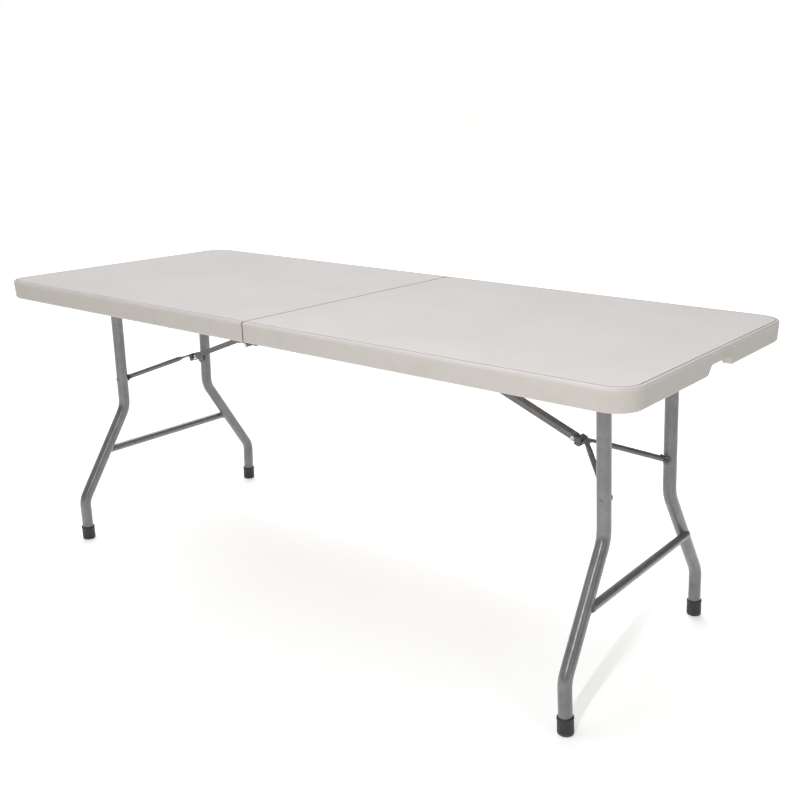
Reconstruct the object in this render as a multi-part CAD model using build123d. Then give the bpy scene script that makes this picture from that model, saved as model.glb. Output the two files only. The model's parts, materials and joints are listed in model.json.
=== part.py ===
from build123d import *
from math import atan2, cos, degrees, hypot, isclose, radians, sin
import os

# Fold-in-half banquet table, standing open on the floor.
# Millimetres. X runs along the length, +Y to the back, +Z up.
# The origin is on the floor, under the middle of the table.
# Each piece is drawn for the right-hand half and mirrored in X for the left-hand half.

# ---------------------------------------------------------------- driving dimensions
LENGTH = 1830.0
WIDTH = 740.0
HEIGHT = 740.0

APRON_DEPTH = 45.0          # moulded edge, top face to lower edge
SKIN = 8.0                  # double skin over the leg recess
SIDE_WALL = 16.0            # apron thickness, front and back
END_WALL = 20.0             # apron thickness, short ends
SEAM_WALL = 10.0            # apron thickness beside the seam
CORNER_RADIUS = 56.0        # plan corners
RECESS_RADIUS = 36.0
EDGE_ROUND = 5.0            # upper and lower outer edges
SEAM_ROUND = 2.0
SEAM_GAP = 1.4
CREASE_INSET = 7.0          # fine moulded line round the top
CREASE_WIDTH = 1.6
CREASE_DEPTH = 0.9

NOTCH_CENTRE_Y = 13.0       # hand notch in each short end
NOTCH_MOUTH = 118.0
NOTCH_TOP = 92.0
NOTCH_HEIGHT = 21.0
NOTCH_SHOULDER = 12.0       # rounding at the top corners
NOTCH_LIP = 14.0            # rounding into the lower edge

DIMPLE = 52.0               # square kiss-off pockets moulded into the underside
DIMPLE_PITCH = 76.0
DIMPLE_DEPTH = 3.0
DIMPLE_ROUND = 10.0
DIMPLE_COLUMNS = 11
DIMPLE_ROWS = 8

TONGUE_LENGTH = 14.0        # tongue on the left half that registers the right half
TONGUE_FRONT = 335.0
TONGUE_BACK = 362.0
TONGUE_CLEARANCE = 0.8

RAIL_DEPTH = 16.0           # steel channel inside each long apron
RAIL_HEIGHT = 30.0
RAIL_WALL = 1.6
RAIL_START = 18.0
RAIL_END = 802.0

LEG_DIAMETER = 30.0
LEG_WALL = 1.5
LEG_TILT = 4.36             # outward lean of the leg frame, degrees
LEG_UPPER_Y = 152.5
LEG_LOWER_Y = 315.0
LEG_KNEE_Z = 365.0
LEG_ANKLE_Z = 120.0
KNEE_RADIUS = 75.0
ANKLE_RADIUS = 60.0

PIVOT_X = 752.6
PIVOT_Z = 713.0
PIVOT_DIAMETER = 25.0
PIVOT_HALF_LENGTH = 334.5
JOURNAL_DIAMETER = 14.0
JOURNAL_LENGTH = 11.0
TUBE_PLUG = 15.0            # closed stretch at each end of a cross tube
RUNNING_FIT = 0.05          # radial clearance of every turning pin
BRACKET_PLATE = 3.0
BRACKET_LENGTH = 46.0

CROSSBAR_DIAMETER = 20.0
CROSSBAR_Z = 245.0
CROSSBAR_OFFSET = 11.5      # towards the outside of the leg plane
CROSSBAR_HALF_LENGTH = 227.0

FOOT_DIAMETER = 35.0
FOOT_HEIGHT = 40.0
FOOT_ROUND = 1.5
FOOT_SOLE = 5.0

BRACE_TOP_X = 56.0          # pivot of the brace under the top
BRACE_TOP_Z = 722.0
BRACE_LEG_X = 773.0         # rivets of the yoke on the legs
BRACE_LEG_Z = 448.0
LINK_WIDTH = 22.0
LINK_TOP = 6.5              # above the line through the brace pivots
LINK_BOTTOM = 5.0           # below that line
LINK_WALL = 1.5
EAR_RADIUS = 6.5
FORK_TAIL = 22.0            # fork past the elbow, held by the lock ring
FORK_HALF_HEIGHT = 5.0
WEB_CUTBACK = 8.0
PIN_DIAMETER = 6.0
HEAD_RADIUS = 5.0
HEAD_THICKNESS = 1.9
HEAD_ROUND = 1.14

BRACKET_FOOT_X = 20.0       # half length of the brace bracket's foot
BRACKET_FOOT_Y = 32.0
BRACKET_SCREW_X = 14.0
BRACKET_SCREW_Y = 25.0
BRACKET_FOOT = 2.0          # thickness of the foot
BRACKET_CHEEK = 2.0
CHEEK_CLEARANCE = 0.5
CHEEK_INNER_Y = LINK_WIDTH / 2 + CHEEK_CLEARANCE

STEM_HALF_WIDTH = 9.2
STEM_HALF_HEIGHT = 3.0
STEM_EYE_RADIUS = 6.0
APEX_START = 23.0           # along the brace, from the elbow
APEX_STEP = 4.5             # length of the step up to the arms
APEX_END = 38.0
APEX_HEIGHT = 8.2           # middle of the step, above the line through the brace pivots
ARM_DIAMETER = 12.0
ARM_FLAT_WIDTH = 13.0
ARM_FLAT = 5.0
ARM_LEAVES = (42.0, 18.0)   # along and across the brace, where the arm starts down to the line
ARM_SWELL = 16.0            # run over which it grows round
ARM_INTO_TAB = 4.5          # how deep the end of the arm sits behind the tab's face
TAB_THICKNESS = 4.0
TAB_RADIUS = 9.5
TAB_FACE_Y = 137.0

RING_INNER_Y = 13.3
RING_INNER_HEIGHT = 7.7
RING_WALL = 1.8
RING_START = 9.0
RING_LENGTH = 13.0

HINGE_AXIS_Z = 690.0
HINGE_FRONT = 326.0
HINGE_BACK = 363.0
KNUCKLE_RADIUS = 5.0
KNUCKLE_RELIEF = 5.7
KNUCKLE_SHARE = 12.2
HINGE_PIN_DIAMETER = 5.0
LEAF_THICKNESS = 2.5
LEAF_LENGTH = 34.0

SCREW_DIAMETER = 4.0
SCREW_LENGTH = 5.0
SCREW_HEAD_RADIUS = 4.2
SCREW_HEAD_HEIGHT = 2.4
RAIL_SCREW_X = (70.0, 250.0, 430.0, 610.0, 785.0)
HINGE_SCREW_X = 26.0

# ---------------------------------------------------------------- derived places
APRON_BOTTOM = HEIGHT - APRON_DEPTH
UNDERSIDE = HEIGHT - SKIN
HALF_LENGTH = LENGTH / 2
HALF_WIDTH = WIDTH / 2
RAIL_OUTER_Y = HALF_WIDTH - SIDE_WALL
RAIL_INNER_Y = RAIL_OUTER_Y - RAIL_DEPTH
RAIL_MIDDLE_Y = (RAIL_OUTER_Y + RAIL_INNER_Y) / 2

TILT = radians(LEG_TILT)
PIVOT = Vector(PIVOT_X, 0, PIVOT_Z)
LEG_PLANE = Plane(origin=PIVOT, x_dir=(0, 1, 0), z_dir=(-cos(TILT), 0, -sin(TILT)))

ELBOW_SPAN = hypot(BRACE_LEG_X - BRACE_TOP_X, BRACE_TOP_Z - BRACE_LEG_Z)
RIVET_DROP = hypot(BRACE_LEG_X - PIVOT_X, PIVOT_Z - BRACE_LEG_Z)
STOWED_SPAN = hypot(PIVOT_X - RIVET_DROP - BRACE_TOP_X, BRACE_TOP_Z - PIVOT_Z)
LINK_LENGTH = (ELBOW_SPAN + STOWED_SPAN) / 2
YOKE_LENGTH = (ELBOW_SPAN - STOWED_SPAN) / 2
BRACE_SLOPE = atan2(BRACE_TOP_Z - BRACE_LEG_Z, BRACE_LEG_X - BRACE_TOP_X)
ELBOW = Vector(
    BRACE_TOP_X + LINK_LENGTH * cos(BRACE_SLOPE), 0, BRACE_TOP_Z - LINK_LENGTH * sin(BRACE_SLOPE)
)
BRACE_PLANE = Plane(
    origin=ELBOW,
    x_dir=(cos(BRACE_SLOPE), 0, -sin(BRACE_SLOPE)),
    z_dir=(sin(BRACE_SLOPE), 0, cos(BRACE_SLOPE)),
)


# ---------------------------------------------------------------- helpers
def block(x0, x1, y0, y1, z0, z1):
    """Box between two opposite corners."""
    centre = ((x0 + x1) / 2, (y0 + y1) / 2, (z0 + z1) / 2)
    return Pos(*centre) * Box(abs(x1 - x0), abs(y1 - y0), abs(z1 - z0))


def rod(start, end, radius):
    """Round bar between two points."""
    start = Vector(*start)
    end = Vector(*end)
    axis = end - start
    return extrude(Plane(origin=start, z_dir=axis) * Circle(radius), axis.length)


def bar_y(x, z, y0, y1, radius):
    """Round bar along Y."""
    return rod((x, y0, z), (x, y1, z), radius)


def both_sides(piece):
    """The piece and its mirror image on the other long side."""
    return [piece, mirror(piece, about=Plane.XZ)]


def in_leg_frame(z):
    """Distance down the tilted leg frame, from the pivot axis, of a height above the floor."""
    return (PIVOT_Z - z) / cos(TILT)


# ---------------------------------------------------------------- table top
def outline(reach, inset):
    """Plan of one half, from x = reach to the short end, drawn in by inset."""
    corners = [
        (reach, -HALF_WIDTH + inset),
        (HALF_LENGTH - inset, -HALF_WIDTH + inset),
        (HALF_LENGTH - inset, HALF_WIDTH - inset),
        (reach, HALF_WIDTH - inset),
    ]
    plan = Polygon(*corners, align=None)
    return fillet(plan.vertices().sort_by(Axis.X)[2:], CORNER_RADIUS - inset)


def shell():
    """Half of the top as a tray: skin, rounded apron, crease line and leg recess."""
    body = extrude(Pos(0, 0, APRON_BOTTOM) * outline(SEAM_GAP / 2, 0), APRON_DEPTH)
    rims = body.faces().sort_by(Axis.Z)
    outer = [
        edge
        for face in (rims[0], rims[-1])
        for edge in face.edges()
        if edge.center().X > SEAM_GAP
    ]
    body = fillet(outer, EDGE_ROUND)
    seam_edge = body.faces().sort_by(Axis.Z)[-1].edges().sort_by(Axis.X)[0]
    body = fillet(seam_edge, SEAM_ROUND)

    crease = outline(-HALF_LENGTH, CREASE_INSET) - outline(-HALF_LENGTH, CREASE_INSET + CREASE_WIDTH)
    body -= extrude(Pos(0, 0, HEIGHT - CREASE_DEPTH) * crease, CREASE_DEPTH)

    recess_corners = [
        (SEAM_WALL, -HALF_WIDTH + SIDE_WALL),
        (HALF_LENGTH - END_WALL, -HALF_WIDTH + SIDE_WALL),
        (HALF_LENGTH - END_WALL, HALF_WIDTH - SIDE_WALL),
        (SEAM_WALL, HALF_WIDTH - SIDE_WALL),
    ]
    recess = Polygon(*recess_corners, align=None)
    recess = fillet(recess.vertices().sort_by(Axis.X)[2:], RECESS_RADIUS)
    body -= extrude(Pos(0, 0, APRON_BOTTOM) * recess, UNDERSIDE - APRON_BOTTOM)

    pocket = fillet(Rectangle(DIMPLE, DIMPLE).vertices(), DIMPLE_ROUND)
    middle = (SEAM_WALL + HALF_LENGTH - END_WALL) / 2
    grid = GridLocations(DIMPLE_PITCH, DIMPLE_PITCH, DIMPLE_COLUMNS, DIMPLE_ROWS)
    pockets = [Pos(middle, 0, UNDERSIDE) * place * pocket for place in grid]
    return body - [extrude(each, DIMPLE_DEPTH) for each in pockets]


def hand_notch():
    """Cutter for the carrying notch in the lower edge of the short end."""
    mouth = NOTCH_MOUTH / 2
    crown = NOTCH_TOP / 2
    flare = mouth + 2 * NOTCH_LIP
    low = APRON_BOTTOM - EDGE_ROUND
    high = APRON_BOTTOM + NOTCH_HEIGHT
    profile = Polygon(
        (-flare, low),
        (flare, low),
        (flare, APRON_BOTTOM),
        (mouth, APRON_BOTTOM),
        (crown, high),
        (-crown, high),
        (-mouth, APRON_BOTTOM),
        (-flare, APRON_BOTTOM),
        align=None,
    )
    corners = profile.vertices().sort_by(Axis.Y)
    profile = fillet(corners[-2:], NOTCH_SHOULDER)
    lips = profile.vertices().filter_by(lambda corner: isclose(abs(corner.X), mouth, rel_tol=1e-4))
    profile = fillet(lips, NOTCH_LIP)
    face = Plane(
        origin=(HALF_LENGTH - 2 * END_WALL, NOTCH_CENTRE_Y, 0), x_dir=(0, 1, 0), z_dir=(1, 0, 0)
    )
    return extrude(face * profile, 3 * END_WALL)


def screw_places():
    """Axes of the screws that hold the rails and the brace bracket to the skin."""
    rails = [(x, y) for x in RAIL_SCREW_X for y in (-RAIL_MIDDLE_Y, RAIL_MIDDLE_Y)]
    steps = [(dx, dy) for dx in (-BRACKET_SCREW_X, BRACKET_SCREW_X) for dy in (-BRACKET_SCREW_Y, BRACKET_SCREW_Y)]
    bracket = [(BRACE_TOP_X + dx, dy) for dx, dy in steps]
    return rails, bracket


def top_panel(is_right):
    """Blow-moulded half top with its hand notch, screw holes and seam registration."""
    panel = shell() - hand_notch()
    rails, bracket = screw_places()
    hole = SCREW_DIAMETER / 2
    panel -= [rod((x, y, UNDERSIDE), (x, y, UNDERSIDE + SCREW_LENGTH), hole) for x, y in rails + bracket]
    relief = bar_y(0, HINGE_AXIS_Z, HINGE_FRONT - 1, HINGE_BACK + 1, KNUCKLE_RELIEF)
    panel -= both_sides(relief)
    if is_right:
        gap = TONGUE_CLEARANCE
        reach = SEAM_GAP / 2 + TONGUE_LENGTH + gap
        return panel - block(
            0, reach, TONGUE_FRONT - gap, TONGUE_BACK + gap, UNDERSIDE - gap, HEIGHT
        )
    tongue = block(
        SEAM_WALL, -TONGUE_LENGTH, TONGUE_FRONT, TONGUE_BACK, UNDERSIDE, HEIGHT - CREASE_DEPTH
    )
    return panel + tongue


# ---------------------------------------------------------------- steel under the top
def back_rail():
    """Steel channel along the back apron, open towards the legs."""
    rail = block(RAIL_START, RAIL_END, RAIL_INNER_Y, RAIL_OUTER_Y, UNDERSIDE - RAIL_HEIGHT, UNDERSIDE)
    rail -= block(
        RAIL_START,
        RAIL_END,
        RAIL_INNER_Y,
        RAIL_OUTER_Y - RAIL_WALL,
        UNDERSIDE - RAIL_HEIGHT + RAIL_WALL,
        UNDERSIDE - RAIL_WALL,
    )
    holes = [
        rod((x, RAIL_MIDDLE_Y, UNDERSIDE - RAIL_WALL), (x, RAIL_MIDDLE_Y, UNDERSIDE), SCREW_DIAMETER / 2)
        for x in RAIL_SCREW_X
    ]
    return rail - holes


def pivot_bracket():
    """Plate on the back rail that carries the end of the leg pivot tube."""
    plate = block(
        PIVOT_X - BRACKET_LENGTH / 2,
        PIVOT_X + BRACKET_LENGTH / 2,
        RAIL_INNER_Y - BRACKET_PLATE,
        RAIL_INNER_Y,
        UNDERSIDE - RAIL_HEIGHT,
        UNDERSIDE,
    )
    radius = JOURNAL_DIAMETER / 2 + RUNNING_FIT
    return plate - bar_y(PIVOT_X, PIVOT_Z, RAIL_INNER_Y - BRACKET_PLATE, RAIL_INNER_Y, radius)


def brace_bracket():
    """Pressed bracket screwed under the top, with two cheeks for the brace pivot."""
    foot = block(
        BRACE_TOP_X - BRACKET_FOOT_X,
        BRACE_TOP_X + BRACKET_FOOT_X,
        -BRACKET_FOOT_Y,
        BRACKET_FOOT_Y,
        UNDERSIDE - BRACKET_FOOT,
        UNDERSIDE,
    )
    cheek_reach = HEAD_RADIUS + 2
    cheek = block(
        BRACE_TOP_X - cheek_reach,
        BRACE_TOP_X + cheek_reach,
        CHEEK_INNER_Y,
        CHEEK_INNER_Y + BRACKET_CHEEK,
        BRACE_TOP_Z,
        UNDERSIDE,
    )
    cheek += bar_y(BRACE_TOP_X, BRACE_TOP_Z, CHEEK_INNER_Y, CHEEK_INNER_Y + BRACKET_CHEEK, cheek_reach)
    bracket = foot + both_sides(cheek)
    reach = CHEEK_INNER_Y + BRACKET_CHEEK
    bracket -= bar_y(BRACE_TOP_X, BRACE_TOP_Z, -reach, reach, PIN_DIAMETER / 2)
    holes = screw_places()[1]
    return bracket - [
        rod((x, y, UNDERSIDE - BRACKET_FOOT), (x, y, UNDERSIDE), SCREW_DIAMETER / 2) for x, y in holes
    ]


def headed_pin(x, z, half_grip):
    """Pin along Y with a domed head on each end."""
    pin = bar_y(x, z, -half_grip, half_grip, PIN_DIAMETER / 2)
    head = bar_y(x, z, half_grip, half_grip + HEAD_THICKNESS, HEAD_RADIUS)
    head = fillet(head.faces().sort_by(Axis.Y)[-1].edges(), HEAD_ROUND)
    return pin + both_sides(head)


def panel_screws():
    """Pan-head screws of the two rails and the brace bracket."""
    rails, bracket = screw_places()
    seats = [(x, y, UNDERSIDE - RAIL_WALL) for x, y in rails]
    seats += [(x, y, UNDERSIDE - BRACKET_FOOT) for x, y in bracket]
    screws = []
    for x, y, z in seats:
        shank = rod((x, y, z), (x, y, UNDERSIDE + SCREW_LENGTH), SCREW_DIAMETER / 2)
        head = rod((x, y, z - SCREW_HEAD_HEIGHT), (x, y, z), SCREW_HEAD_RADIUS)
        head = fillet(head.faces().sort_by(Axis.Z)[0].edges(), SCREW_HEAD_HEIGHT * 0.5)
        screws.append(shank + head)
    return screws


# ---------------------------------------------------------------- centre hinges
def hinge_screw_places():
    """Screws of one hinge leaf at the back."""
    inset = SCREW_HEAD_RADIUS + 2
    return [(HINGE_SCREW_X, HINGE_FRONT + inset), (HINGE_SCREW_X, HINGE_BACK - inset)]


def hinge_leaf(is_right):
    """Back leaf with its rolled knuckles: the middle one on the right, the outer two on the left."""
    plate_z0 = APRON_BOTTOM - LEAF_THICKNESS
    if is_right:
        spans = [(HINGE_FRONT + KNUCKLE_SHARE + 0.3, HINGE_BACK - KNUCKLE_SHARE - 0.3)]
        bore = HINGE_PIN_DIAMETER / 2 + RUNNING_FIT
    else:
        spans = [(HINGE_FRONT, HINGE_FRONT + KNUCKLE_SHARE), (HINGE_BACK - KNUCKLE_SHARE, HINGE_BACK)]
        bore = HINGE_PIN_DIAMETER / 2
    leaf = block(KNUCKLE_RELIEF, LEAF_LENGTH, HINGE_FRONT, HINGE_BACK, plate_z0, APRON_BOTTOM)
    for y0, y1 in spans:
        leaf += block(0, KNUCKLE_RELIEF, y0, y1, plate_z0, APRON_BOTTOM)
        leaf += bar_y(0, HINGE_AXIS_Z, y0, y1, KNUCKLE_RADIUS)
    leaf -= bar_y(0, HINGE_AXIS_Z, HINGE_FRONT, HINGE_BACK, bore)
    return leaf


def hinge_pin():
    """Headed pin of the back hinge."""
    pin = bar_y(0, HINGE_AXIS_Z, HINGE_FRONT, HINGE_BACK, HINGE_PIN_DIAMETER / 2)
    for y0, y1 in ((HINGE_FRONT - 1.5, HINGE_FRONT), (HINGE_BACK, HINGE_BACK + 1.5)):
        pin += bar_y(0, HINGE_AXIS_Z, y0, y1, HINGE_PIN_DIAMETER / 2 + 1)
    return pin


def hinge_screws():
    """Black pan heads under the hinge leaves, front and back."""
    seat = APRON_BOTTOM - LEAF_THICKNESS
    screws = []
    for x, y in hinge_screw_places():
        head = rod((x, y, seat - SCREW_HEAD_HEIGHT), (x, y, seat), SCREW_HEAD_RADIUS)
        head = fillet(head.faces().sort_by(Axis.Z)[0].edges(), SCREW_HEAD_HEIGHT * 0.5)
        screws += both_sides(head)
    return screws


# ---------------------------------------------------------------- leg frame
def leg_path():
    """Centre line of the back leg in the tilted leg frame."""
    points = [
        (LEG_UPPER_Y, 0),
        (LEG_UPPER_Y, in_leg_frame(LEG_KNEE_Z)),
        (LEG_LOWER_Y, in_leg_frame(LEG_ANKLE_Z)),
        (LEG_LOWER_Y, in_leg_frame(0)),
    ]
    return LEG_PLANE * FilletPolyline(*points, radius=(KNEE_RADIUS, ANKLE_RADIUS))


def pivot_tube():
    """Cross tube at the top of the leg frame, necked down to journals at its ends."""
    reach = PIVOT_HALF_LENGTH + JOURNAL_LENGTH
    bored = PIVOT_HALF_LENGTH - TUBE_PLUG
    tube = bar_y(PIVOT_X, PIVOT_Z, -PIVOT_HALF_LENGTH, PIVOT_HALF_LENGTH, PIVOT_DIAMETER / 2)
    tube += bar_y(PIVOT_X, PIVOT_Z, -reach, reach, JOURNAL_DIAMETER / 2)
    return tube - bar_y(PIVOT_X, PIVOT_Z, -bored, bored, PIVOT_DIAMETER / 2 - LEG_WALL)


def below(height):
    """Everything near one leg frame that is lower than a height above the floor."""
    return block(PIVOT_X - HALF_WIDTH, LENGTH, -HALF_WIDTH, HALF_WIDTH, height - HALF_WIDTH, height)


def filled_leg(path):
    """The back leg without its bore."""
    return sweep(Plane(origin=path @ 0, z_dir=path % 0) * Circle(LEG_DIAMETER / 2), path=path)


def back_leg():
    """Bent leg tube, saddled onto the pivot tube and drilled for the yoke rivet."""
    path = leg_path()
    bore = sweep(Plane(origin=path @ 0, z_dir=path % 0) * Circle(LEG_DIAMETER / 2 - LEG_WALL), path=path)
    leg = filled_leg(path) - bore
    leg -= bar_y(PIVOT_X, PIVOT_Z, 0, HALF_WIDTH, PIVOT_DIAMETER / 2)
    leg -= below(FOOT_SOLE)
    return leg - bar_y(BRACE_LEG_X, BRACE_LEG_Z, 0, HALF_WIDTH, PIN_DIAMETER / 2)


def crossbar():
    """Straight tube across the outside of both legs, fitted round them at its ends."""
    outward = Vector(cos(TILT), 0, sin(TILT)) * CROSSBAR_OFFSET
    drop = in_leg_frame(CROSSBAR_Z)
    centre = PIVOT + Vector(sin(TILT), 0, -cos(TILT)) * drop + outward
    bored = CROSSBAR_HALF_LENGTH - 2 * TUBE_PLUG
    bar = bar_y(centre.X, centre.Z, -CROSSBAR_HALF_LENGTH, CROSSBAR_HALF_LENGTH, CROSSBAR_DIAMETER / 2)
    bar -= bar_y(centre.X, centre.Z, -bored, bored, CROSSBAR_DIAMETER / 2 - LEG_WALL)
    return bar - both_sides(filled_leg(leg_path()))


def back_foot():
    """Plastic cap on the leg end, flat on the floor."""
    down = Vector(sin(TILT), 0, -cos(TILT))
    ankle = PIVOT + Vector(0, LEG_LOWER_Y, 0)
    top = ankle + down * in_leg_frame(FOOT_HEIGHT)
    bottom = ankle + down * in_leg_frame(-FOOT_SOLE)
    cap = rod(top, bottom, FOOT_DIAMETER / 2)
    cap = fillet(cap.faces().sort_by(Axis.Z)[-1].edges(), FOOT_ROUND)
    socket = rod(top, bottom, LEG_DIAMETER / 2) - below(FOOT_SOLE)
    return cap - socket - below(0)


def leg_rivet():
    """Rivet through the back leg, with its head on the outside."""
    inner = LEG_UPPER_Y - LEG_DIAMETER / 2
    outer = LEG_UPPER_Y + LEG_DIAMETER / 2
    shank = bar_y(BRACE_LEG_X, BRACE_LEG_Z, inner, outer, PIN_DIAMETER / 2)
    head = bar_y(BRACE_LEG_X, BRACE_LEG_Z, outer, outer + HEAD_THICKNESS, HEAD_RADIUS)
    return shank + fillet(head.faces().sort_by(Axis.Y)[-1].edges(), HEAD_ROUND)


# ---------------------------------------------------------------- folding brace
# Local frame of the brace: x from the elbow towards the legs, y across, z square to the brace.
def link():
    """Channel from the bracket under the top to the elbow, with a fork that overruns the elbow."""
    half = LINK_WIDTH / 2
    channel = block(-LINK_LENGTH, 0, -half, half, -LINK_BOTTOM, LINK_TOP)
    channel += block(0, FORK_TAIL, -half, half, -FORK_HALF_HEIGHT, FORK_HALF_HEIGHT)
    for x in (-LINK_LENGTH, 0):
        channel += bar_y(x, 0, -half, half, EAR_RADIUS)
    inner = half - LINK_WALL
    channel -= block(-LINK_LENGTH - EAR_RADIUS, FORK_TAIL, -inner, inner, -EAR_RADIUS, LINK_TOP - LINK_WALL)
    channel -= block(-WEB_CUTBACK, FORK_TAIL, -inner, inner, -EAR_RADIUS, EAR_RADIUS)
    channel -= block(
        -LINK_LENGTH - EAR_RADIUS, WEB_CUTBACK - LINK_LENGTH, -inner, inner, -EAR_RADIUS, EAR_RADIUS
    )
    channel -= bar_y(-LINK_LENGTH, 0, -half, half, PIN_DIAMETER / 2 + RUNNING_FIT)
    channel -= bar_y(0, 0, -half, half, PIN_DIAMETER / 2)
    return channel


def yoke_stem():
    """Pressed tongue between the fork cheeks, stepped up to the two arms."""
    low = APEX_HEIGHT - ARM_FLAT / 2
    high = APEX_HEIGHT + ARM_FLAT / 2
    profile = Polygon(
        (0, -STEM_HALF_HEIGHT),
        (APEX_START, -STEM_HALF_HEIGHT),
        (APEX_START + APEX_STEP, low),
        (APEX_END, low),
        (APEX_END, high),
        (APEX_START + APEX_STEP / 2, high),
        (APEX_START, STEM_HALF_HEIGHT),
        (0, STEM_HALF_HEIGHT),
        align=None,
    )
    side = Plane(origin=(0, STEM_HALF_WIDTH, 0), x_dir=(1, 0, 0), z_dir=(0, -1, 0))
    stem = extrude(side * profile, 2 * STEM_HALF_WIDTH)
    stem += bar_y(0, 0, -STEM_HALF_WIDTH, STEM_HALF_WIDTH, STEM_EYE_RADIUS)
    return stem - bar_y(0, 0, -STEM_HALF_WIDTH, STEM_HALF_WIDTH, PIN_DIAMETER / 2 + RUNNING_FIT)


def yoke_arm():
    """Back arm: flattened on the stem, then round and straight down to the riveted tab at the leg."""
    start = Vector(APEX_START + APEX_STEP, ARM_DIAMETER / 3, APEX_HEIGHT)
    leaves = Vector(*ARM_LEAVES, APEX_HEIGHT)
    end = Vector(YOKE_LENGTH - TAB_RADIUS, TAB_FACE_Y - ARM_INTO_TAB, 0)
    fall = (end - leaves).normalized()
    grown = leaves + fall * ARM_SWELL

    def section(place, run, shape):
        return Plane(origin=place, x_dir=run.cross(Vector(0, 0, 1)), z_dir=run) * shape

    flat_run = leaves - start
    flat = Ellipse(ARM_FLAT_WIDTH / 2, ARM_FLAT / 2)
    arm = extrude(section(start, flat_run, flat), flat_run.length)
    arm += loft(
        [section(leaves, flat_run, flat), section(grown, fall, Circle(ARM_DIAMETER / 2))]
    )
    arm += rod(grown, end, ARM_DIAMETER / 2)
    tab = bar_y(YOKE_LENGTH, 0, TAB_FACE_Y - TAB_THICKNESS, TAB_FACE_Y, TAB_RADIUS)
    tab += block(
        YOKE_LENGTH - 2 * TAB_RADIUS, YOKE_LENGTH, TAB_FACE_Y - TAB_THICKNESS, TAB_FACE_Y,
        -ARM_DIAMETER / 2, ARM_DIAMETER / 2,
    )
    arm = arm + tab - yoke_stem()
    arm -= block(0, YOKE_LENGTH, -ARM_DIAMETER, 0, -ARM_DIAMETER, 2 * ARM_DIAMETER)
    return arm


def yoke_button():
    """Inner head of the rivet on the back arm's tab."""
    face = TAB_FACE_Y - TAB_THICKNESS
    button = bar_y(YOKE_LENGTH, 0, face - HEAD_THICKNESS, face, HEAD_RADIUS)
    return fillet(button.faces().sort_by(Axis.Y)[0].edges(), HEAD_ROUND)


def lock_ring():
    """Rectangular sleeve that slides over the elbow and keeps the brace straight."""
    outer = Box(RING_LENGTH, 2 * (RING_INNER_Y + RING_WALL), 2 * (RING_INNER_HEIGHT + RING_WALL))
    outer = fillet(outer.edges().filter_by(Axis.X), RING_WALL)
    hole = Box(RING_LENGTH, 2 * RING_INNER_Y, 2 * RING_INNER_HEIGHT)
    middle = (LINK_TOP - LINK_BOTTOM) / 2
    return Pos(RING_START + RING_LENGTH / 2, 0, middle) * (outer - hole)


# ---------------------------------------------------------------- assembly
def half_table(is_right):
    """Every node of one half, drawn on the right-hand side."""
    rail = back_rail()
    leg = back_leg()
    foot = back_foot()
    arm = yoke_arm()
    front = Plane.XZ
    leaf_pair = both_sides(hinge_leaf(is_right))
    screws = hinge_screws()
    return {
        "top_panel": top_panel(is_right),
        "back_rail": rail,
        "front_rail": mirror(rail, about=front),
        "pivot_brackets": both_sides(pivot_bracket()),
        "brace_bracket": brace_bracket(),
        "brace_bracket_pin": headed_pin(BRACE_TOP_X, BRACE_TOP_Z, CHEEK_INNER_Y + BRACKET_CHEEK),
        "panel_screws": panel_screws(),
        "hinge_leaves": leaf_pair,
        "hinge_screws": screws,
        "pivot_tube": pivot_tube(),
        "back_leg": leg,
        "front_leg": mirror(leg, about=front),
        "crossbar": crossbar(),
        "back_foot": foot,
        "front_foot": mirror(foot, about=front),
        "leg_rivets": both_sides(leg_rivet()),
        "brace_link": BRACE_PLANE * link(),
        "elbow_rivet": BRACE_PLANE * headed_pin(0, 0, LINK_WIDTH / 2),
        "yoke_stem": BRACE_PLANE * yoke_stem(),
        "yoke_back_arm": BRACE_PLANE * arm,
        "yoke_front_arm": BRACE_PLANE * mirror(arm, about=front),
        "yoke_rivet_heads": [BRACE_PLANE * each for each in both_sides(yoke_button())],
        "lock_ring": BRACE_PLANE * lock_ring(),
    }


def write(name, shape):
    """One STEP file for a node; a list of solids becomes one group."""
    if isinstance(shape, list):
        shape = Compound(children=shape)
    export_step(shape, f"parts/{name}.step")


os.makedirs("parts", exist_ok=True)
for name, shape in half_table(True).items():
    write(f"right_{name}", shape)
for name, shape in half_table(False).items():
    if isinstance(shape, list):
        mirrored = [mirror(each, about=Plane.YZ) for each in shape]
    else:
        mirrored = mirror(shape, about=Plane.YZ)
    write(f"left_{name}", mirrored)
write("hinge_pins", both_sides(hinge_pin()))
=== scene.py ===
"""Looks of the fold-in-half table: materials, weld beads, ribbed foot caps, lights and camera.

Metres. X runs along the table, +Y to the back, +Z up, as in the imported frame.
"""
import json
import math

import bmesh
import bpy
from mathutils import Matrix, Vector


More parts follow.
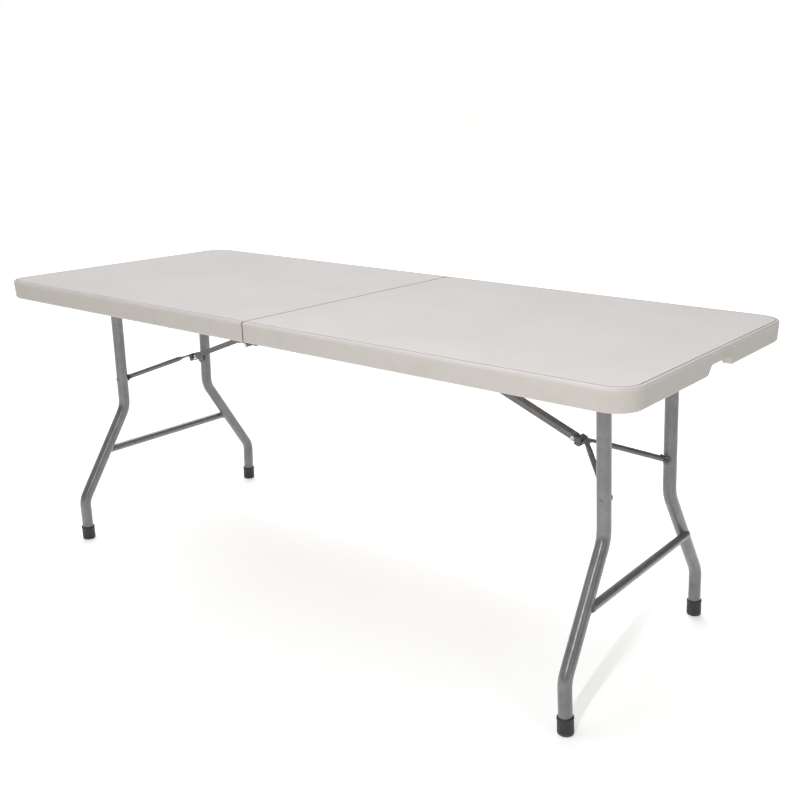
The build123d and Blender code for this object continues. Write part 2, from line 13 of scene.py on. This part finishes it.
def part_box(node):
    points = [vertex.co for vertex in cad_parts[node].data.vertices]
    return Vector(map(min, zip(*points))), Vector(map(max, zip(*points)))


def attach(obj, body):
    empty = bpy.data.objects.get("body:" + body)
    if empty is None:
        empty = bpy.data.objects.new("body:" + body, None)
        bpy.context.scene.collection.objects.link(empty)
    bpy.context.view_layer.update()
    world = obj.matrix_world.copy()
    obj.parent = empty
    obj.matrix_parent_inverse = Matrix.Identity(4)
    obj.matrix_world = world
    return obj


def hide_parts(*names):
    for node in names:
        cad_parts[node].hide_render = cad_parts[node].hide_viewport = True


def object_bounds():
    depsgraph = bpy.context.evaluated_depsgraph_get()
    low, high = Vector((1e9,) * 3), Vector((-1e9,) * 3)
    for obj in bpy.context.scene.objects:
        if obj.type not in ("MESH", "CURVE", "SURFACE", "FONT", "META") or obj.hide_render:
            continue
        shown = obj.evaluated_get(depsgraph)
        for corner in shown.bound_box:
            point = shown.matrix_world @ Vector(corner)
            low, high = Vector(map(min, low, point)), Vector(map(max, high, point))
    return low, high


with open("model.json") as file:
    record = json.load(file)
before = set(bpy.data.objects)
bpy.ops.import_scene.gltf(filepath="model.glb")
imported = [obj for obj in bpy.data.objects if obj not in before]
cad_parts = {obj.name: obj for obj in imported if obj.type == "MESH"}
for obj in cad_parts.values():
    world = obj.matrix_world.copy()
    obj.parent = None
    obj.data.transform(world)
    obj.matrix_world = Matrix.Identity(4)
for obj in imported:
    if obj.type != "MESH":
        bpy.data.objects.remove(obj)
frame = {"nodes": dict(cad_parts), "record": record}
cad_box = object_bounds()

MM = 0.001
SIDES = {"left": -1.0, "right": 1.0}
ENDS = {"front": -1.0, "back": 1.0}

# Camera: the direction it looks from, its place, and its lens.
CAMERA_AZIMUTH = 37.13
CAMERA_ELEVATION = 24.33
CAMERA_ROLL = -0.11
CAMERA_PLACE = (1.5863, -1.7651, 1.1650)
CAMERA_LENS = 43.52
CAMERA_SHIFT = (-0.05, 0.175)

# Top: where the painted shade lies, along the fine line moulded round it and along the seam between
# the halves.
TOP_CORNER = 56 * MM
CREASE_INSET = 7.8 * MM
CREASE_HALF_WIDTH = 0.8 * MM
CREASE_FADES = 1.5 * MM      # from its middle
SEAM_HALF_WIDTH = 1.08 * MM
SEAM_FADES = 2.4 * MM

# Leg frames.
LEG_RADIUS = 15 * MM
KNEE_HEIGHT = 365 * MM
ANKLE_HEIGHT = 120 * MM
PIVOT_TUBE_RADIUS = 12.5 * MM
BEAD_RADIUS = 2.0 * MM
BEAD_RIPPLE = 0.16
BEAD_RIPPLE_TURN = 1.9       # radians from one point of the bead to the next
BEAD_END = 0.25              # thickness at the ends, as a share of the middle
BEAD_TAPER = 6.0
BEAD_POINTS = 12
CROSSBAR_STEPS = 72
SADDLE_STEPS = 12            # on each half of the bead
SADDLE_REACH = 0.97          # share of the pivot tube's radius that a saddle bead spans

# Foot caps.
CAP_RADIUS = 17.5 * MM
CAP_HEIGHT = 40 * MM
CAP_FLUTES = 28
CAP_STEPS = 8               # points round the rim for each flute
FLUTE_DEPTH = 0.55 * MM
TUBE_END = 5 * MM
TUBE_PLAY = 0.2 * MM

# Outline of a cap, from the sole up: depth inside the rim, height, and whether it is fluted there.
CAP_OUTLINE = (
    (1.4 * MM, 0.0, False),
    (0.4 * MM, 1.2 * MM, False),
    (0.0, 3 * MM, False),
    (0.0, 7 * MM, False),
    (0.0, 8 * MM, True),
    (0.0, CAP_HEIGHT - 9 * MM, True),
    (0.0, CAP_HEIGHT - 8 * MM, False),
    (-0.4 * MM, CAP_HEIGHT - 7 * MM, False),
    (-0.4 * MM, CAP_HEIGHT - 2 * MM, False),
    (0.4 * MM, CAP_HEIGHT - 0.6 * MM, False),
    (1.6 * MM, CAP_HEIGHT, False),
)

# Light. A sun stands at an azimuth and elevation, and has a spread and a level.
SUNS = {
    "overhead": (0, 85, 70, 0.34),
    "back_left": (-135, 48, 45, 0.42),
    "front_left": (-60, 45, 45, 0.12),
}
# The strips draw the bright lines on the slanting legs: place, size and watts.
STRIPS = {
    "front_strip": ((1.11, -2.12, 1.69), (0.06, 1.3), 19),
    "right_strip": ((2.78, -1.18, 1.18), (0.04, 1.2), 3.5),
}
STRIP_TARGET = (0.79, -0.234, 0.24)      # middle of the slanting part of the right front leg
WORLD_LIGHT = 0.10
FLOOR_GLOW = 0.30            # light that the white floor gives off by itself
FLOOR_DROP = 0.2 * MM


# ------------------------------------------------------------------ camera
def make_camera():
    """Camera before the right-hand front corner, with a small roll and shift."""
    azimuth = math.radians(CAMERA_AZIMUTH)
    elevation = math.radians(CAMERA_ELEVATION)
    back = Vector(
        (
            math.sin(azimuth) * math.cos(elevation),
            -math.cos(azimuth) * math.cos(elevation),
            math.sin(elevation),
        )
    )
    data = bpy.data.cameras.new("camera")
    data.lens = CAMERA_LENS
    data.sensor_width = 36.0
    data.shift_x, data.shift_y = CAMERA_SHIFT
    camera = bpy.data.objects.new("camera", data)
    bpy.context.scene.collection.objects.link(camera)
    turn = back.to_track_quat("Z", "Y").to_matrix()
    turn = turn @ Matrix.Rotation(math.radians(CAMERA_ROLL), 3, "Z")
    camera.matrix_world = Matrix.Translation(CAMERA_PLACE) @ turn.to_4x4()
    bpy.context.scene.camera = camera


make_camera()


# ------------------------------------------------------------------ node helpers
def rgb(red, green, blue):
    return (red, green, blue, 1.0)


def scaled(colour, factor):
    """A colour made lighter or darker."""
    return rgb(*(min(1.0, channel * factor) for channel in colour[:3]))


class Material:
    """A Principled material with short calls for its procedural nodes."""

    def __init__(self, name, roughness, metallic=0.0):
        self.material = bpy.data.materials.new(name)
        self.material.use_nodes = True
        self.tree = self.material.node_tree
        self.shader = self.tree.nodes["Principled BSDF"]
        self.shader.inputs["Roughness"].default_value = roughness
        self.shader.inputs["Metallic"].default_value = metallic
        self.place = self.add("ShaderNodeTexCoord").outputs["Object"]

    def add(self, kind, **settings):
        node = self.tree.nodes.new(kind)
        for key, value in settings.items():
            setattr(node, key, value)
        return node

    def put(self, target, value):
        """Links a socket, or sets a number or colour."""
        if isinstance(value, bpy.types.NodeSocket):
            self.tree.links.new(value, target)
        else:
            target.default_value = value

    def axes(self):
        """The place split into X, Y and Z."""
        split = self.add("ShaderNodeSeparateXYZ")
        self.put(split.inputs["Vector"], self.place)
        return split.outputs["X"], split.outputs["Y"], split.outputs["Z"]

    def stretched(self, stretch):
        if stretch == (1, 1, 1):
            return self.place
        node = self.add("ShaderNodeMapping")
        node.inputs["Scale"].default_value = stretch
        self.put(node.inputs["Vector"], self.place)
        return node.outputs["Vector"]

    def noise(self, scale, detail=2.0, roughness=0.5, stretch=(1, 1, 1)):
        node = self.add("ShaderNodeTexNoise")
        node.inputs["Scale"].default_value = scale
        node.inputs["Detail"].default_value = detail
        node.inputs["Roughness"].default_value = roughness
        self.put(node.inputs["Vector"], self.stretched(stretch))
        return node.outputs["Fac"]

    def cells(self, scale):
        node = self.add("ShaderNodeTexVoronoi", feature="SMOOTH_F1")
        node.inputs["Scale"].default_value = scale
        self.put(node.inputs["Vector"], self.place)
        return node.outputs["Distance"]

    def math(self, operation, a, b=0.0):
        node = self.add("ShaderNodeMath", operation=operation)
        self.put(node.inputs[0], a)
        self.put(node.inputs[1], b)
        return node.outputs[0]

    def remap(self, value, low, high, to_low, to_high):
        """Smooth step of a value from one range to another."""
        node = self.add("ShaderNodeMapRange", interpolation_type="SMOOTHSTEP")
        self.put(node.inputs["Value"], value)
        limits = {"From Min": low, "From Max": high, "To Min": to_low, "To Max": to_high}
        for key, number in limits.items():
            node.inputs[key].default_value = number
        return node.outputs["Result"]

    def mix(self, factor, first, second):
        node = self.add("ShaderNodeMix", data_type="RGBA")
        self.put(node.inputs[0], factor)
        self.put(node.inputs[6], first)
        self.put(node.inputs[7], second)
        return node.outputs[2]

    def colour(self, value):
        self.put(self.shader.inputs["Base Color"], value)

    def roughness(self, value):
        self.put(self.shader.inputs["Roughness"], value)

    def coat(self, weight, roughness):
        self.shader.inputs["Coat Weight"].default_value = weight
        self.shader.inputs["Coat Roughness"].default_value = roughness

    def bump(self, height, strength, distance, under=None):
        """Adds relief, on top of the relief in under."""
        node = self.add("ShaderNodeBump")
        node.inputs["Strength"].default_value = strength
        node.inputs["Distance"].default_value = distance
        self.put(node.inputs["Height"], height)
        if under is not None:
            self.put(node.inputs["Normal"], under)
        self.put(self.shader.inputs["Normal"], node.outputs["Normal"])
        return node.outputs["Normal"]


# ------------------------------------------------------------------ materials
def moulded_plastic():
    """Warm light grey polyethylene: fine grain, faint clouding, scuffs, painted shade on the apron
    and underside, and painted shade in the fine line and the seam.
    """
    made = Material("top_plastic_grain", 0.45)
    clouds = made.remap(made.noise(4.0, 4.0, 0.55), 0.35, 0.65, 0, 1)
    body = made.mix(clouds, rgb(0.585, 0.558, 0.548), rgb(0.605, 0.580, 0.570))
    specks = made.remap(made.noise(1400.0, 1.0), 0.62, 0.74, 0, 0.12)
    body = made.mix(specks, body, rgb(0.48, 0.455, 0.440))
    # Painted shade: the apron and the underside are drawn darker and warmer than the top, in patches.
    apron_shade_patches = made.remap(made.noise(11.0, 5.0, 0.65), 0.45, 0.75, 0.72, 1.0)
    body = made.mix(made.math("MULTIPLY", apron_shade_patches, below_rim(made)), body, rgb(0.480, 0.448, 0.405))
    # Painted shade: a dark brown line drawn along the fine line round the top and along the seam
    # between the halves.
    made.colour(made.mix(line_shade_mask(made), body, rgb(0.150, 0.125, 0.105)))
    scuffs = made.remap(made.noise(18.0, 6.0, 0.7, (1, 6, 1)), 0.56, 0.72, 0, 0.10)
    satin = made.remap(made.noise(160.0, 2.0), 0.3, 0.7, 0.50, 0.58)
    made.roughness(made.math("SUBTRACT", satin, scuffs))
    made.shader.inputs["Specular IOR Level"].default_value = 0.26
    grain = made.math("ADD", made.cells(520.0), made.math("MULTIPLY", made.noise(1300.0, 3.0), 0.5))
    ripple = made.bump(made.noise(6.0, 2.0), 0.12, 0.0010)
    made.bump(grain, 0.26, 0.00018, ripple)
    return made.material


def below_rim(made):
    """Mask of the apron and the underside, which are painted duller and warmer than the top: painted
    shade.
    """
    height = made.axes()[2]
    return made.remap(height, cad_box[1].z - 9 * MM, cad_box[1].z - 2 * MM, 1.0, 0.0)


def line_shade_mask(made):
    """Mask of the painted shade along the fine line round the top and along the seam between the
    halves.
    """
    x, y, z = made.axes()
    over_x = made.math("SUBTRACT", made.math("ABSOLUTE", x), cad_box[1].x - TOP_CORNER)
    over_y = made.math("SUBTRACT", made.math("ABSOLUTE", y), cad_box[1].y - TOP_CORNER)
    out_x = made.math("POWER", made.math("MAXIMUM", over_x, 0.0), 2.0)
    out_y = made.math("POWER", made.math("MAXIMUM", over_y, 0.0), 2.0)
    reach = made.math("SQRT", made.math("ADD", out_x, out_y))
    inside = made.math("MINIMUM", made.math("MAXIMUM", over_x, over_y), 0.0)
    depth = made.math("SUBTRACT", TOP_CORNER, made.math("ADD", reach, inside))
    off_line = made.math("ABSOLUTE", made.math("SUBTRACT", depth, CREASE_INSET))
    crease = made.remap(off_line, CREASE_HALF_WIDTH, CREASE_FADES, 0.85, 0.0)
    upper = made.remap(z, cad_box[1].z - 3 * MM, cad_box[1].z - 1.5 * MM, 0.0, 1.0)
    patchy = made.remap(made.noise(9.0, 3.0), 0.3, 0.7, 0.65, 1.0)
    crease = made.math("MULTIPLY", made.math("MULTIPLY", crease, upper), patchy)
    seam = made.remap(made.math("ABSOLUTE", x), SEAM_HALF_WIDTH, SEAM_FADES, 0.85, 0.0)
    return made.math("MAXIMUM", crease, seam)


def hammered_paint(name, dark, light, metallic, roughness):
    """Hammertone powder coat: shallow dimples, fine metallic flecks and a few rubbed patches."""
    made = Material(name, roughness, metallic)
    pits = made.cells(620.0)
    shade = made.remap(made.noise(26.0, 4.0, 0.6), 0.3, 0.7, 0.88, 1.10)
    body = made.mix(made.remap(pits, 0.15, 0.75, 0, 1), light, dark)
    varied = made.add("ShaderNodeVectorMath", operation="SCALE")
    made.put(varied.inputs[0], body)
    made.put(varied.inputs["Scale"], shade)
    flecks = made.remap(made.noise(2600.0, 1.0), 0.60, 0.72, 0, 0.22)
    body = made.mix(flecks, varied.outputs[0], scaled(light, 1.5))
    rubbed = made.remap(made.noise(14.0, 6.0, 0.75, (1, 1, 0.35)), 0.68, 0.76, 0, 0.30)
    made.colour(made.mix(rubbed, body, scaled(light, 1.6)))
    made.roughness(made.remap(made.noise(60.0, 3.0), 0.3, 0.7, roughness - 0.04, roughness + 0.06))
    made.coat(0.60, 0.10)
    made.shader.inputs["Specular IOR Level"].default_value = 0.25
    fine = made.bump(made.noise(1100.0, 2.0), 0.12, 0.00008)
    made.bump(pits, 0.22, 0.0003, fine)
    return made.material


def worn_paint(name, body_colour, bare, wear, roughness):
    """Smooth powder coat over steel with orange peel, rubbed through in patches."""
    made = Material(name, roughness, 0.35)
    shade = made.remap(made.noise(35.0, 4.0), 0.3, 0.7, 0, 1)
    body = made.mix(shade, body_colour, scaled(body_colour, 1.22))
    rubbed = made.remap(made.noise(45.0, 7.0, 0.72), wear, wear + 0.06, 0, 0.85)
    made.colour(made.mix(rubbed, body, bare))
    made.roughness(made.remap(made.noise(120.0, 3.0), 0.3, 0.7, roughness - 0.05, roughness + 0.1))
    made.coat(0.2, 0.2)
    made.bump(made.noise(520.0, 2.0), 0.25, 0.0002)
    return made.material


def zinc(name, bright):
    """Zinc plate with fine turning marks and dull spots."""
    made = Material(name, 0.30, 1.0)
    spots = made.remap(made.noise(220.0, 4.0), 0.45, 0.65, 0, 1)
    made.colour(made.mix(spots, bright, scaled(bright, 0.66)))
    made.roughness(made.remap(made.noise(90.0, 4.0), 0.3, 0.7, 0.24, 0.46))
    made.bump(made.noise(1500.0, 2.0, 0.6, (1, 0.2, 1)), 0.25, 0.00008)
    return made.material


def cap_rubber():
    """Black moulded cap: fine grain, scuffed paler near the floor."""
    made = Material("cap_plastic_grain", 0.5)
    low = made.remap(made.axes()[2], 0.0, 12 * MM, 1.0, 0.0)
    dirt = made.math("MULTIPLY", low, made.remap(made.noise(160.0, 5.0, 0.7), 0.42, 0.62, 0, 0.8))
    mottled = made.mix(made.noise(300.0, 3.0), rgb(0.014, 0.014, 0.015), rgb(0.034, 0.034, 0.036))
    made.colour(made.mix(dirt, mottled, rgb(0.11, 0.105, 0.10)))
    made.roughness(made.remap(made.noise(240.0, 3.0), 0.3, 0.7, 0.40, 0.60))
    made.bump(made.noise(1300.0, 3.0), 0.35, 0.00018)
    return made.material


def bead_paint():
    """The leg paint over a weld bead: mottled darker and lighter at random, with spatter, and each
    pinhole drawn as a dark spot: painted shade for a pit that the relief does not have.
    """
    made = Material("weld_paint", 0.36, 0.45)
    mottled = made.mix(made.noise(500.0, 4.0), rgb(0.150, 0.145, 0.146), rgb(0.29, 0.28, 0.282))
    # Painted shade: pinhole pits drawn as dark spots.
    pinhole_shade = made.remap(made.cells(900.0), 0.05, 0.16, 0.6, 0.0)
    made.colour(made.mix(pinhole_shade, mottled, rgb(0.05, 0.048, 0.048)))
    made.bump(made.noise(900.0, 3.0), 0.4, 0.0003)
    return made.material


LEG_GREY = rgb(0.212, 0.205, 0.208)
BRACE_GREY = rgb(0.140, 0.134, 0.133)
WORN_STEEL = rgb(0.36, 0.35, 0.34)
OXIDE_BLACK = rgb(0.014, 0.014, 0.014)
LOOKS = {
    "top_plastic": moulded_plastic(),
    "leg_paint": hammered_paint("leg_hammertone", scaled(LEG_GREY, 0.82), LEG_GREY, 0.30, 0.34),
    "brace_steel": worn_paint("brace_coat", BRACE_GREY, WORN_STEEL, 0.66, 0.38),
    "rail_steel": worn_paint("rail_coat", scaled(BRACE_GREY, 0.85), WORN_STEEL, 0.72, 0.45),
    "ring_steel": worn_paint("ring_coat", scaled(BRACE_GREY, 0.75), WORN_STEEL, 0.60, 0.36),
    "zinc_rivet": zinc("zinc_plate", rgb(0.66, 0.66, 0.64)),
    "dark_rivet": worn_paint("dark_rivet_coat", scaled(BRACE_GREY, 0.45), WORN_STEEL, 0.60, 0.36),
    "black_screw": worn_paint("black_oxide", OXIDE_BLACK, scaled(WORN_STEEL, 0.44), 0.68, 0.42),
    "cap_plastic": cap_rubber(),
}
WELD_PAINT = bead_paint()


def dress_nodes():
    """Gives every CAD node the detailed material of its slot."""
    for part in frame["record"]["subparts"]:
        node = frame["nodes"][part["node"]]
        node.data.materials.clear()
        node.data.materials.append(LOOKS[part["material_slot"]])


# ------------------------------------------------------------------ mesh helpers
def add_piece(name, rings, material, body):
    """Smooth capped piece through a list of equal rings of points."""
    shape = bmesh.new()
    rows = [[shape.verts.new(point) for point in ring] for ring in rings]
    count = len(rings[0])
    for lower, upper in zip(rows, rows[1:]):
        for i in range(count):
            j = (i + 1) % count
            shape.faces.new((lower[i], lower[j], upper[j], upper[i]))
    shape.faces.new(list(reversed(rows[0])))
    shape.faces.new(rows[-1])
    bmesh.ops.recalc_face_normals(shape, faces=shape.faces)
    mesh = bpy.data.meshes.new(name)
    shape.to_mesh(mesh)
    shape.free()
    mesh.materials.append(material)
    for face in mesh.polygons:
        face.use_smooth = True
    mesh.set_sharp_from_angle(angle=math.radians(38))
    piece = bpy.data.objects.new(name, mesh)
    bpy.context.scene.collection.objects.link(piece)
    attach(piece, body)
    return piece


class LegFrame:
    """Centre lines of one leaning leg frame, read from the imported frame."""

    def __init__(self, side):
        self.side = side
        pivot = next(
            joint["pos_m"]
            for joint in frame["record"]["behaviour"]["joints"]
            if joint["name"] == f"{side}_leg_fold"
        )
        sole = next(
            mount["pos_m"]
            for mount in frame["record"]["mounts"]
            if mount["name"] == f"{side}_back_foot_sole"
        )
        self.pivot = Vector((pivot[0], 0, pivot[2]))
        self.down = (Vector((sole[0], 0, 0)) - self.pivot).normalized()
        self.out = Vector((SIDES[side] * -self.down.z, 0, SIDES[side] * self.down.x))
        low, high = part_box(f"{side}_back_leg")
        self.upper_y = low.y + LEG_RADIUS
        self.lower_y = high.y - LEG_RADIUS

    def at(self, y, height):
        """Point of the leaning plane at a height above the floor."""
        point = self.pivot + self.down * ((height - self.pivot.z) / self.down.z)
        return point + Vector((0, y, 0))


# ------------------------------------------------------------------ weld beads
def bead(name, path, body):
    """Rippled weld bead along an open path, thinning out at its ends."""
    rings = []
    last = len(path) - 1
    across = (path[1] - path[0]).orthogonal()
    for i, point in enumerate(path):
        tangent = (path[min(i + 1, last)] - path[max(i - 1, 0)]).normalized()
        across = (across - tangent * across.dot(tangent)).normalized()
        other = tangent.cross(across)
        fade = min(1.0, BEAD_END + BEAD_TAPER * min(i, last - i) / last)
        radius = BEAD_RADIUS * fade * (1.0 + BEAD_RIPPLE * math.sin(BEAD_RIPPLE_TURN * i))
        ring = []
        for k in range(BEAD_POINTS):
            angle = 2 * math.pi * k / BEAD_POINTS
            ring.append(point + (across * math.cos(angle) + other * math.sin(angle)) * radius)
        rings.append(ring)
    add_piece(name, rings, WELD_PAINT, body)


def crossbar_bead(leg_frame, end):
    """Bead where the crossbar lands on a leg: lines along the bar, each cut off by the leg's skin."""
    low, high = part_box(f"{leg_frame.side}_crossbar")
    bar_radius = (high.z - low.z) / 2
    centre = (low + high) / 2
    sign = ENDS[end]
    knee = leg_frame.at(sign * leg_frame.upper_y, KNEE_HEIGHT)
    ankle = leg_frame.at(sign * leg_frame.lower_y, ANKLE_HEIGHT)
    run = (ankle - knee).normalized()
    along = Vector((0, 1, 0)) - run * run.y
    path = []
    for k in range(CROSSBAR_STEPS):
        angle = 2 * math.pi * k / CROSSBAR_STEPS
        spoke = Vector((math.cos(angle), 0, math.sin(angle)))
        start = Vector((centre.x, 0, centre.z)) + spoke * bar_radius
        away = (start - knee) - run * (start - knee).dot(run)
        a, b, c = along.dot(along), 2 * along.dot(away), away.dot(away) - LEG_RADIUS ** 2
        inside = b * b - 4 * a * c
        if inside > 0:
            y = (-b - sign * math.sqrt(inside)) / (2 * a)
            path.append(start + Vector((0, y, 0)))
    # The bar passes beside the leg's axis, so the bead is open, and it starts after its widest gap.
    gaps = [(path[i] - path[i - 1]).length for i in range(len(path))]
    first = gaps.index(max(gaps))
    path = path[first:] + path[:first]
    bead(f"{leg_frame.side}_{end}_crossbar_weld", path, f"{leg_frame.side}_legs")


def saddle_beads(leg_frame, end):
    """Two beads where a leg meets the pivot tube, one on each side of the leg."""
    sign = ENDS[end]
    reach = math.asin(SADDLE_REACH * PIVOT_TUBE_RADIUS / LEG_RADIUS)
    for name, half in (("inner", -1.0), ("outer", 1.0)):
        path = []
        for k in range(2 * SADDLE_STEPS + 1):
            angle = reach * (k / SADDLE_STEPS - 1)
            offset = LEG_RADIUS * math.sin(angle)
            drop = math.sqrt(max(0.0, PIVOT_TUBE_RADIUS ** 2 - offset ** 2))
            y = sign * (leg_frame.upper_y + half * LEG_RADIUS * math.cos(angle))
            point = leg_frame.pivot + leg_frame.out * offset + leg_frame.down * drop
            path.append(point + Vector((0, y, 0)))
        bead(f"{leg_frame.side}_{end}_{name}_saddle_weld", path, f"{leg_frame.side}_legs")


# ------------------------------------------------------------------ foot caps
def foot_cap(leg_frame, end):
    """Ribbed cap with a lip, and a sole cut flat on the floor; it replaces the CAD cap."""
    foot = leg_frame.at(ENDS[end] * leg_frame.lower_y, 0)
    up = -leg_frame.down
    side = leg_frame.out
    other = up.cross(side)
    socket = LEG_RADIUS + TUBE_PLAY
    outline = [(CAP_RADIUS - depth, height, fluted) for depth, height, fluted in CAP_OUTLINE]
    outline += [(socket, CAP_HEIGHT, False), (socket, TUBE_END, False)]
    count = CAP_FLUTES * CAP_STEPS
    rings = []
    for radius, height, fluted in outline:
        ring = []
        for k in range(count):
            angle = 2 * math.pi * k / count
            dip = fluted * FLUTE_DEPTH * (0.5 - 0.5 * math.cos(CAP_FLUTES * angle))
            spoke = side * math.cos(angle) + other * math.sin(angle)
            point = foot + up * height + spoke * (radius - dip)
            if height < TUBE_END:
                point -= up * ((point.z - height) / up.z)
            ring.append(point)
        rings.append(ring)
    name = f"{leg_frame.side}_{end}_foot_cap"
    piece = add_piece(name, rings, LOOKS["cap_plastic"], f"{leg_frame.side}_legs")
    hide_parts(f"{leg_frame.side}_{end}_foot")


dress_nodes()
for side_name in SIDES:
    legs = LegFrame(side_name)
    for end_name in ENDS:
        crossbar_bead(legs, end_name)
        saddle_beads(legs, end_name)
        foot_cap(legs, end_name)


# ------------------------------------------------------------------ floor and light
def make_floor():
    """Plain white floor."""
    shape = bmesh.new()
    bmesh.ops.create_grid(shape, x_segments=1, y_segments=1, size=30.0)
    mesh = bpy.data.meshes.new("floor")
    shape.to_mesh(mesh)
    shape.free()
    floor = bpy.data.objects.new("floor", mesh)
    bpy.context.scene.collection.objects.link(floor)
    made = Material("floor_paper", 0.9)
    made.colour(made.mix(made.noise(2.0, 3.0), rgb(0.90, 0.90, 0.897), rgb(0.915, 0.915, 0.912)))
    made.shader.inputs["Specular IOR Level"].default_value = 0.0
    made.shader.inputs["Emission Color"].default_value = rgb(1.0, 1.0, 1.0)
    made.shader.inputs["Emission Strength"].default_value = FLOOR_GLOW
    mesh.materials.append(made.material)
    floor.location.z = cad_box[0].z - FLOOR_DROP


def place_light(name, data, place, target):
    """Links a light and aims it at a point."""
    light = bpy.data.objects.new(name, data)
    bpy.context.scene.collection.objects.link(light)
    light.location = place
    aim = Vector(target) - Vector(place)
    light.rotation_euler = aim.to_track_quat("-Z", "Y").to_euler()


def make_strip(name, place, target, size, watts):
    """Tall narrow light aimed at a point."""
    data = bpy.data.lights.new(name, "AREA")
    data.shape = "RECTANGLE"
    data.size, data.size_y = size
    data.energy = watts
    place_light(name, data, place, target)


def make_sun(name, azimuth, elevation, spread, level):
    """Soft light from one direction; level is the light that a white floor sends back."""
    turn, rise = math.radians(azimuth), math.radians(elevation)
    data = bpy.data.lights.new(name, "SUN")
    data.angle = math.radians(spread)
    data.energy = level * math.pi / math.sin(rise)
    place = Vector(
        (math.sin(turn) * math.cos(rise), -math.cos(turn) * math.cos(rise), math.sin(rise))
    )
    place_light(name, data, place * 5, (0, 0, 0))


def make_world(strength):
    """White surround; it lights the scene less than it shows."""
    world = bpy.data.worlds.new("studio")
    world.use_nodes = True
    bpy.context.scene.world = world
    tree = world.node_tree
    shown = tree.nodes.new("ShaderNodeLightPath")
    level = tree.nodes.new("ShaderNodeMapRange")
    tree.links.new(shown.outputs["Is Camera Ray"], level.inputs["Value"])
    level.inputs["To Min"].default_value = strength
    level.inputs["To Max"].default_value = 1.0
    tree.links.new(level.outputs["Result"], tree.nodes["Background"].inputs["Strength"])
    tree.nodes["Background"].inputs["Color"].default_value = rgb(1.0, 0.998, 0.994)


make_floor()
make_world(WORLD_LIGHT)
for sun_name, (sun_azimuth, sun_elevation, sun_spread, sun_level) in SUNS.items():
    make_sun(sun_name, sun_azimuth, sun_elevation, sun_spread, sun_level)
for strip_name, (strip_place, strip_size, strip_watts) in STRIPS.items():
    make_strip(strip_name, strip_place, STRIP_TARGET, strip_size, strip_watts)
bpy.context.scene.view_settings.view_transform = "Standard"
